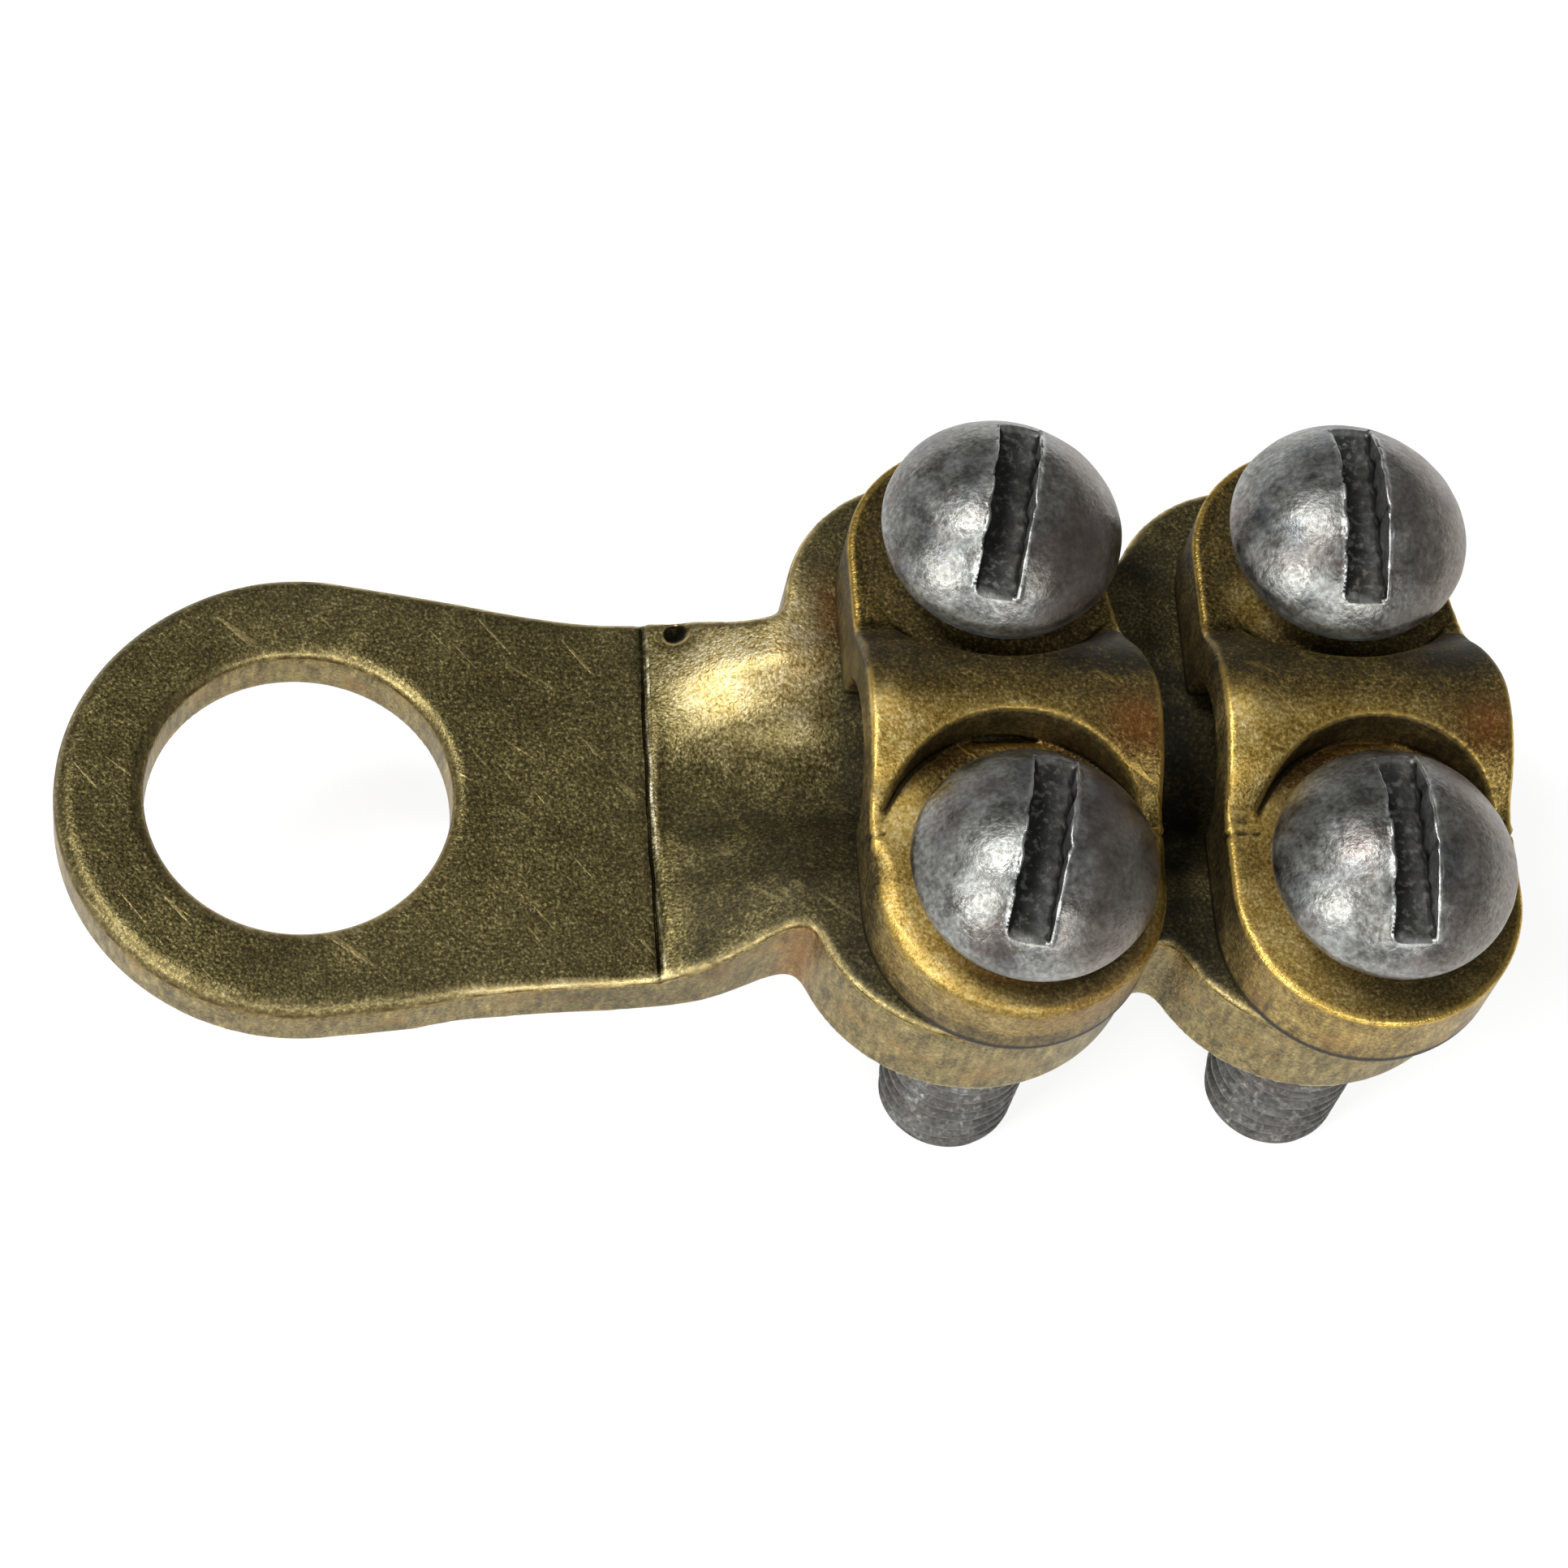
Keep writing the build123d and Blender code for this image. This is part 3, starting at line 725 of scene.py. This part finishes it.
def light_and_tone_saddle(p, g, marks, sx, inner, pocket):
    x, y, z = p.T
    u = x - sx
    up = marks["up"]
    near = y < 0
    q = np.hypot(u, np.abs(y) - SCREW_Y)
    cut = to_pocket(u, y, pocket)
    # painted shade on the walls of the round steps
    wall = (cut > -0.10) * (q > 3.0) * (z > S_TOP + 0.10) * step(up, 0.97, 0.75)
    soot = 0.90 * wall
    # painted shade on the far flank of the arch, and on its crest, stronger towards the +x end
    on_arch = (z > S_TOP + 0.15) * (1 - wall)
    soot = soot + 0.58 * step(y, 0.35, 1.5) * on_arch
    soot = soot + (0.22 + 0.28 * step(u, -1, 4)) * step(y, -1.6, 0.5) * on_arch * (np.abs(u) < 4.95)
    # seats: shaded towards the cable end and behind the heads
    seat = (z > S_TOP - 0.25) * (z < S_TOP + 0.15) * step(up, 0.6, 0.9)
    angle = np.arctan2(y - np.sign(y) * SCREW_Y, u)
    shade = 0.5 + 0.5 * np.cos(angle + 1.0)
    soot = soot + (0.80 * shade ** 1.3 * near + 0.60 * (1 - near)) * seat * step(q, 4.9, 4.1)
    # painted shade under the arch, over the cable passage
    soot = soot + 0.9 * (z < S_Z0 + 0.8) * (np.abs(y) < 3.3)
    # painted shade on the sides that face the palm, on the front of the near lobe and on the sides that face +x
    face = step(up, 0.80, 0.45) if inner else step(up, 0.62, 0.3)
    left = step(-u, 3.9, 4.8) * step(y, -10.0, -6.5)
    left = left * (np.where(np.abs(y + 0.4) < 1.6, step(up, 0.62, 0.3), face))
    soot = soot + 0.95 * left
    right = step(u, 3.9, 4.8)
    soot = soot + (0.50 if inner else 0.08) * step(up, 0.7, 0.4) * step(-y, 7.5, 9.5)
    soot = soot + (0.80 if inner else 0.25) * right * step(up, 0.62, 0.3) * step(y, -8.0, -6.0)
    # painted highlights: a glint at the left end of the arch, a lit band along the crest, the lit near flank, the
    # rolled edge of the near lobe, and pale lit seats beside the heads
    glint = spot(p, sx - 4.4, -0.5, 0.6, 1.0) * on_arch
    gold = bump(y + 0.75, 0.8) * on_arch * step(u, 4.0, 0.0)
    flank = step(-y, 0.6, 2.0) * on_arch * step(-u, -2.0, 2.5)
    rolled = step(np.hypot(u, y + 6.0), 3.9, 4.6) * (y < -6) * (z > S_Z0 + 1.2)
    pale = spot(p, sx - 4.0, -3.0, 1.1, 1.5) + 0.75 * np.clip(np.cos(angle + 2.75), 0, 1) ** 2 * near
    bright = 0.95 * glint + 0.60 * gold + 0.45 * flank + (0.45 if inner else 0.15) * rolled
    bright = bright + (1.0 if inner else 0.6) * pale * seat * (1 - left)
    soot = soot * (1 - 0.7 * np.clip(pale, 0, 1) * seat)
    if not inner:
        # a painted highlight on the far seat
        patch = spot(p, sx - 2.9, 4.6, 0.9, 1.0)
        bright = bright + 0.85 * patch
        soot = soot * (1 - 0.8 * patch)
    marks["soot"] = np.clip(soot, 0, 1)
    marks["bright"] = np.clip(bright, 0, 1)
    # matt patches under the painted highlights, so that they read bright
    marks["dull"] = np.clip(np.clip(pale, 0, 1) * seat * (1 - left)
                            + 0.9 * spot(p, sx - 4.55, -0.35, 0.42, 0.55) * on_arch, 0, 1)
    marks["warm"] = np.clip(0.75 * spot(p, sx + 4.1, -0.9, 1.1, 0.9) * on_arch
                            + 0.75 * bump(cut - 0.30, 0.32) * near * seat * bump(u, 2.4)
                            + (0.35 * bump(angle + 0.9, 0.6) * rolled if inner else 0), 0, 1)


def stage_piece(ob, node, body):
    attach(ob, body)
    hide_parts(node)
    return ob


verts, quads = skin(lug_field, (-8.9, -10.9, -0.5), (40.5, 11.9, 4.9), h_lug)
marks, _ = marks_of(lug_field, verts)
light_and_tone_lug(verts, marks)
lug = mesh_object("lug-body", verts, quads, marks, lug_mat)
stage_piece(lug, "lug_body", "lug")

for name, node, body, sx, near_y, r_side, r_pocket, pocket in (
        ("inner-saddle", "inner_saddle", "inner_clamp", S1, NEAR_LOBE_Y[0], 0.85, 0.22, NEAR_POCKETS[0]),
        ("outer-saddle", "outer_saddle", "outer_clamp", S2, NEAR_LOBE_Y[1], 0.24, 0.14, NEAR_POCKETS[1])):
    field = saddle_field(sx, near_y, r_side, r_pocket, pocket)
    verts, quads = skin(field, (sx - 5.4, -11.7, 3.9), (sx + 5.4, 11.3, 9.9), h_saddle)
    marks, g = marks_of(field, verts)
    light_and_tone_saddle(verts, g, marks, sx, name == "inner-saddle", pocket)
    ob = mesh_object(name, verts, quads, marks, saddle_mat)
    stage_piece(ob, node, body)


def shank(turns_around, rows):
    """A right-hand thread with rounded crests from z 0 down, and a chamfered end."""
    length = SCREW_LEN
    z = -np.linspace(0, length, rows)
    a = np.linspace(0, 2 * math.pi, turns_around, endpoint=False)
    A, Z = np.meshgrid(a, z)
    phase = (Z / PITCH - A / (2 * math.pi)) % 1.0
    tri = 1 - np.abs(2 * phase - 1)
    cut = np.clip((tri - 0.10) / 0.78, 0, 1)
    cut = cut * cut * (3 - 2 * cut) * 0.35 + cut * 0.65
    crest, root = SHANK_R + 0.045, 2.06
    r = root + (crest - root) * cut
    neck = step(Z, -0.9, -0.2)
    r = r * (1 - neck) + SHANK_R * neck
    end = np.clip((Z + length) / 0.55, 0, 1)
    r = np.minimum(r, 1.95 + 0.55 * end)
    pts = np.stack([r * np.cos(A), r * np.sin(A), Z], 2).reshape(-1, 3)
    n = turns_around
    faces = []
    for i in range(rows - 1):
        for j in range(n):
            k = (j + 1) % n
            faces.append((i * n + j, (i + 1) * n + j, (i + 1) * n + k, i * n + k))
    # slightly hollow end face
    base = len(pts)
    rings = [1.6, 1.0, 0.45]
    extra = []
    for q, rr in enumerate(rings):
        for j in range(n):
            extra.append((rr * math.cos(a[j]), rr * math.sin(a[j]), -length + 0.05 + 0.05 * q))
    extra.append((0, 0, -length + 0.18))
    pts = np.concatenate([pts, np.array(extra)])
    prev = (rows - 1) * n
    for q in range(len(rings)):
        cur = base + q * n
        for j in range(n):
            k = (j + 1) % n
            faces.append((prev + j, cur + j, cur + k, prev + k))
        prev = cur
    tip = len(pts) - 1
    for j in range(n):
        faces.append((prev + j, tip, prev + (j + 1) % n))
    hollow = np.zeros(len(pts))
    convex = np.zeros(len(pts))
    flat = cut.reshape(-1) * (1 - neck.reshape(-1))
    hollow[:base] = np.clip(1 - flat * 2.2, 0, 1) * (1 - neck.reshape(-1)) * 1.1
    convex[:base] = np.clip(flat * 2.2 - 1.2, 0, 1)
    return pts, faces, convex, hollow


head_v, head_q = skin(head_field, (-4.7, -4.7, -0.4), (4.7, 4.7, 3.9), h_head)
head_marks, _ = marks_of(head_field, head_v)
# painted shade in the slot, darker on its left side, and under the head; painted highlights on the bare-metal burrs
# at the slot and on the near edge of the slot floor
dome_big = (HEAD_R**2 + DOME_H**2) / (2 * DOME_H)
below = dome_big - np.hypot(np.hypot(head_v[:, 0], head_v[:, 1]),
                            head_v[:, 2] - (RIM + DOME_H - dome_big))
hx, hz = head_v[:, 0], head_v[:, 2]
floor_h = RIM + DOME_H - SLOT_D
in_slot = (np.abs(hx) < SLOT_W / 2 + 0.04) * step(below, 0.05, 0.25) * (hz > floor_h - 0.2)
head_marks["soot"] = np.clip((0.95 - 0.28 * step(hx, -0.1, 0.5)) * in_slot
                             + 0.9 * step(hz, 0.25, 0.0), 0, 1)
at_slot = (below < 0.06) * step(hz, floor_h - 0.12, floor_h + 0.02)
head_marks["bright"] = np.clip((bump(hx - SLOT_W / 2 - 0.10, 0.09)
                                + 0.35 * bump(hx + SLOT_W / 2 + 0.07, 0.06)) * at_slot
                               + 0.5 * bump(hz - floor_h, 0.10) * (np.abs(hx) < SLOT_W / 2 + 0.1)
                               * (head_v[:, 1] < 0) * (below < 0.1), 0, 1)
shank_v, shank_f, shank_c, shank_h = shank(88, 250)
UNDER = S_TOP + GAP

for node, body, sx, sy, turn, seed in (
        ("inner_near_screw", "inner_near", S1, -SCREW_Y, -13.0, 3.1),
        ("inner_far_screw", "inner_far", S1, SCREW_Y, -12.0, 7.7),
        ("outer_near_screw", "outer_near", S2, -SCREW_Y, -1.0, 12.3),
        ("outer_far_screw", "outer_far", S2, SCREW_Y, -2.0, 17.9)):
    hv = head_v.copy()
    # hammered and tumbled skin, different on each screw
    g = slope(head_field, hv)
    g /= np.maximum(np.linalg.norm(g, axis=1), 1e-6)[:, None]
    rr = np.hypot(hv[:, 0], hv[:, 1])
    lump = 0.035 * wobble(hv, 0.45, seed) + 0.010 * wobble(hv, 1.6, seed + 5)
    hv = hv + g * (lump - 0.02)[:, None] * step(rr, -1, 0.5)[:, None] * (hv[:, 2] > 0.4)[:, None]
    c, s = math.cos(math.radians(turn)), math.sin(math.radians(turn))
    hv = np.stack([c * hv[:, 0] - s * hv[:, 1], s * hv[:, 0] + c * hv[:, 1], hv[:, 2]], 1)
    # painted shade round the lower side of the heads, stronger on the far heads
    rim_soot = np.maximum(head_marks["soot"], (0.7 if sy > 0 else 0.25) * step(hz, 1.15, 0.6))
    both_v = np.concatenate([hv, shank_v]) + np.array([sx, sy, UNDER])
    both_f = head_q.tolist() + [tuple(i + len(hv) for i in f) for f in shank_f]
    marks = {"convex": np.concatenate([head_marks["convex"], shank_c]),
             "hollow": np.concatenate([head_marks["hollow"], shank_h]),
             "up": np.concatenate([head_marks["up"], np.zeros(len(shank_v))]),
             # painted shade and dirt on the thread, darker in its roots
             "soot": np.concatenate([rim_soot, np.clip(0.55 + 0.40 * shank_h, 0, 0.9)]),
             "bright": np.concatenate([head_marks["bright"], np.zeros(len(shank_v))]),
             "warm": np.concatenate([step(hx, 0.6, 2.2), np.full(len(shank_v), 0.3)])}
    ob = mesh_object(node.replace("_", "-"), both_v, both_f, marks, screw_mat)
    stage_piece(ob, node, body)

# ------------------------------------------------------- floor, light, camera
floor_z = (UNDER - SCREW_LEN) * MM
bpy.ops.mesh.primitive_plane_add(size=6, location=(0.016, 0, floor_z))
floor = bpy.context.object
floor.name = "floor"
fm = bpy.data.materials.new("floor")
fm.use_nodes = True
bs = fm.node_tree.nodes["Principled BSDF"]
bs.inputs["Base Color"].default_value = (0.34, 0.34, 0.34, 1)
bs.inputs["Roughness"].default_value = 0.9
bs.inputs["Emission Color"].default_value = (1, 1, 1, 1)
bs.inputs["Emission Strength"].default_value = 0.82
floor.data.materials.append(fm)

world = bpy.data.worlds.new("studio")
bpy.context.scene.world = world
world.use_nodes = True
world.node_tree.nodes["Background"].inputs[0].default_value = (1, 1, 1, 1)
world.node_tree.nodes["Background"].inputs[1].default_value = 0.185


def softbox(name, direction, distance, size, power, color=(1, 1, 1)):
    d = Vector(direction).normalized()
    target = Vector((0.02, 0, 0.004))
    lamp = bpy.data.lights.new(name, "AREA")
    lamp.shape = "RECTANGLE"
    lamp.size, lamp.size_y = size
    lamp.energy = power
    lamp.color = color
    ob = bpy.data.objects.new(name, lamp)
    ob.location = target + d * distance
    ob.rotation_mode = "QUATERNION"
    ob.rotation_quaternion = (-d).to_track_quat("-Z", "Y")
    bpy.context.scene.collection.objects.link(ob)
    return ob


softbox("key", (-0.42, 0.10, 0.83), 0.6, (0.11, 0.14), 1.5)
softbox("left", (-0.70, -0.46, 0.52), 0.6, (0.16, 0.22), 1.6)
softbox("front", (0.10, -0.92, 0.60), 0.7, (0.5, 0.25), 1.9)

cam_data = bpy.data.cameras.new("camera")
cam = bpy.data.objects.new("camera", cam_data)
bpy.context.scene.collection.objects.link(cam)
cam_data.sensor_width = 36
cam_data.lens = 5500 * 36 / 1932
cam_data.clip_start, cam_data.clip_end = 0.01, 20
el, az, roll = (math.radians(v) for v in (61.915, 18.157, 16.209))
d = Vector((math.sin(az) * math.cos(el), math.cos(az) * math.cos(el), -math.sin(el)))
right = Vector((math.cos(az), -math.sin(az), 0))
up = right.cross(d)
c, s = math.cos(roll), math.sin(roll)
r2, u2 = c * right + s * up, -s * right + c * up
rot = Matrix((r2, u2, -d)).transposed()
place = Vector((20, 0, 0)) - (r2 * 2.958 - u2 * 1.284 + d * 157.09)
cam.matrix_world = Matrix.Translation(place * MM) @ rot.to_4x4()
bpy.context.scene.camera = cam
bpy.context.scene.view_settings.view_transform = "Standard"
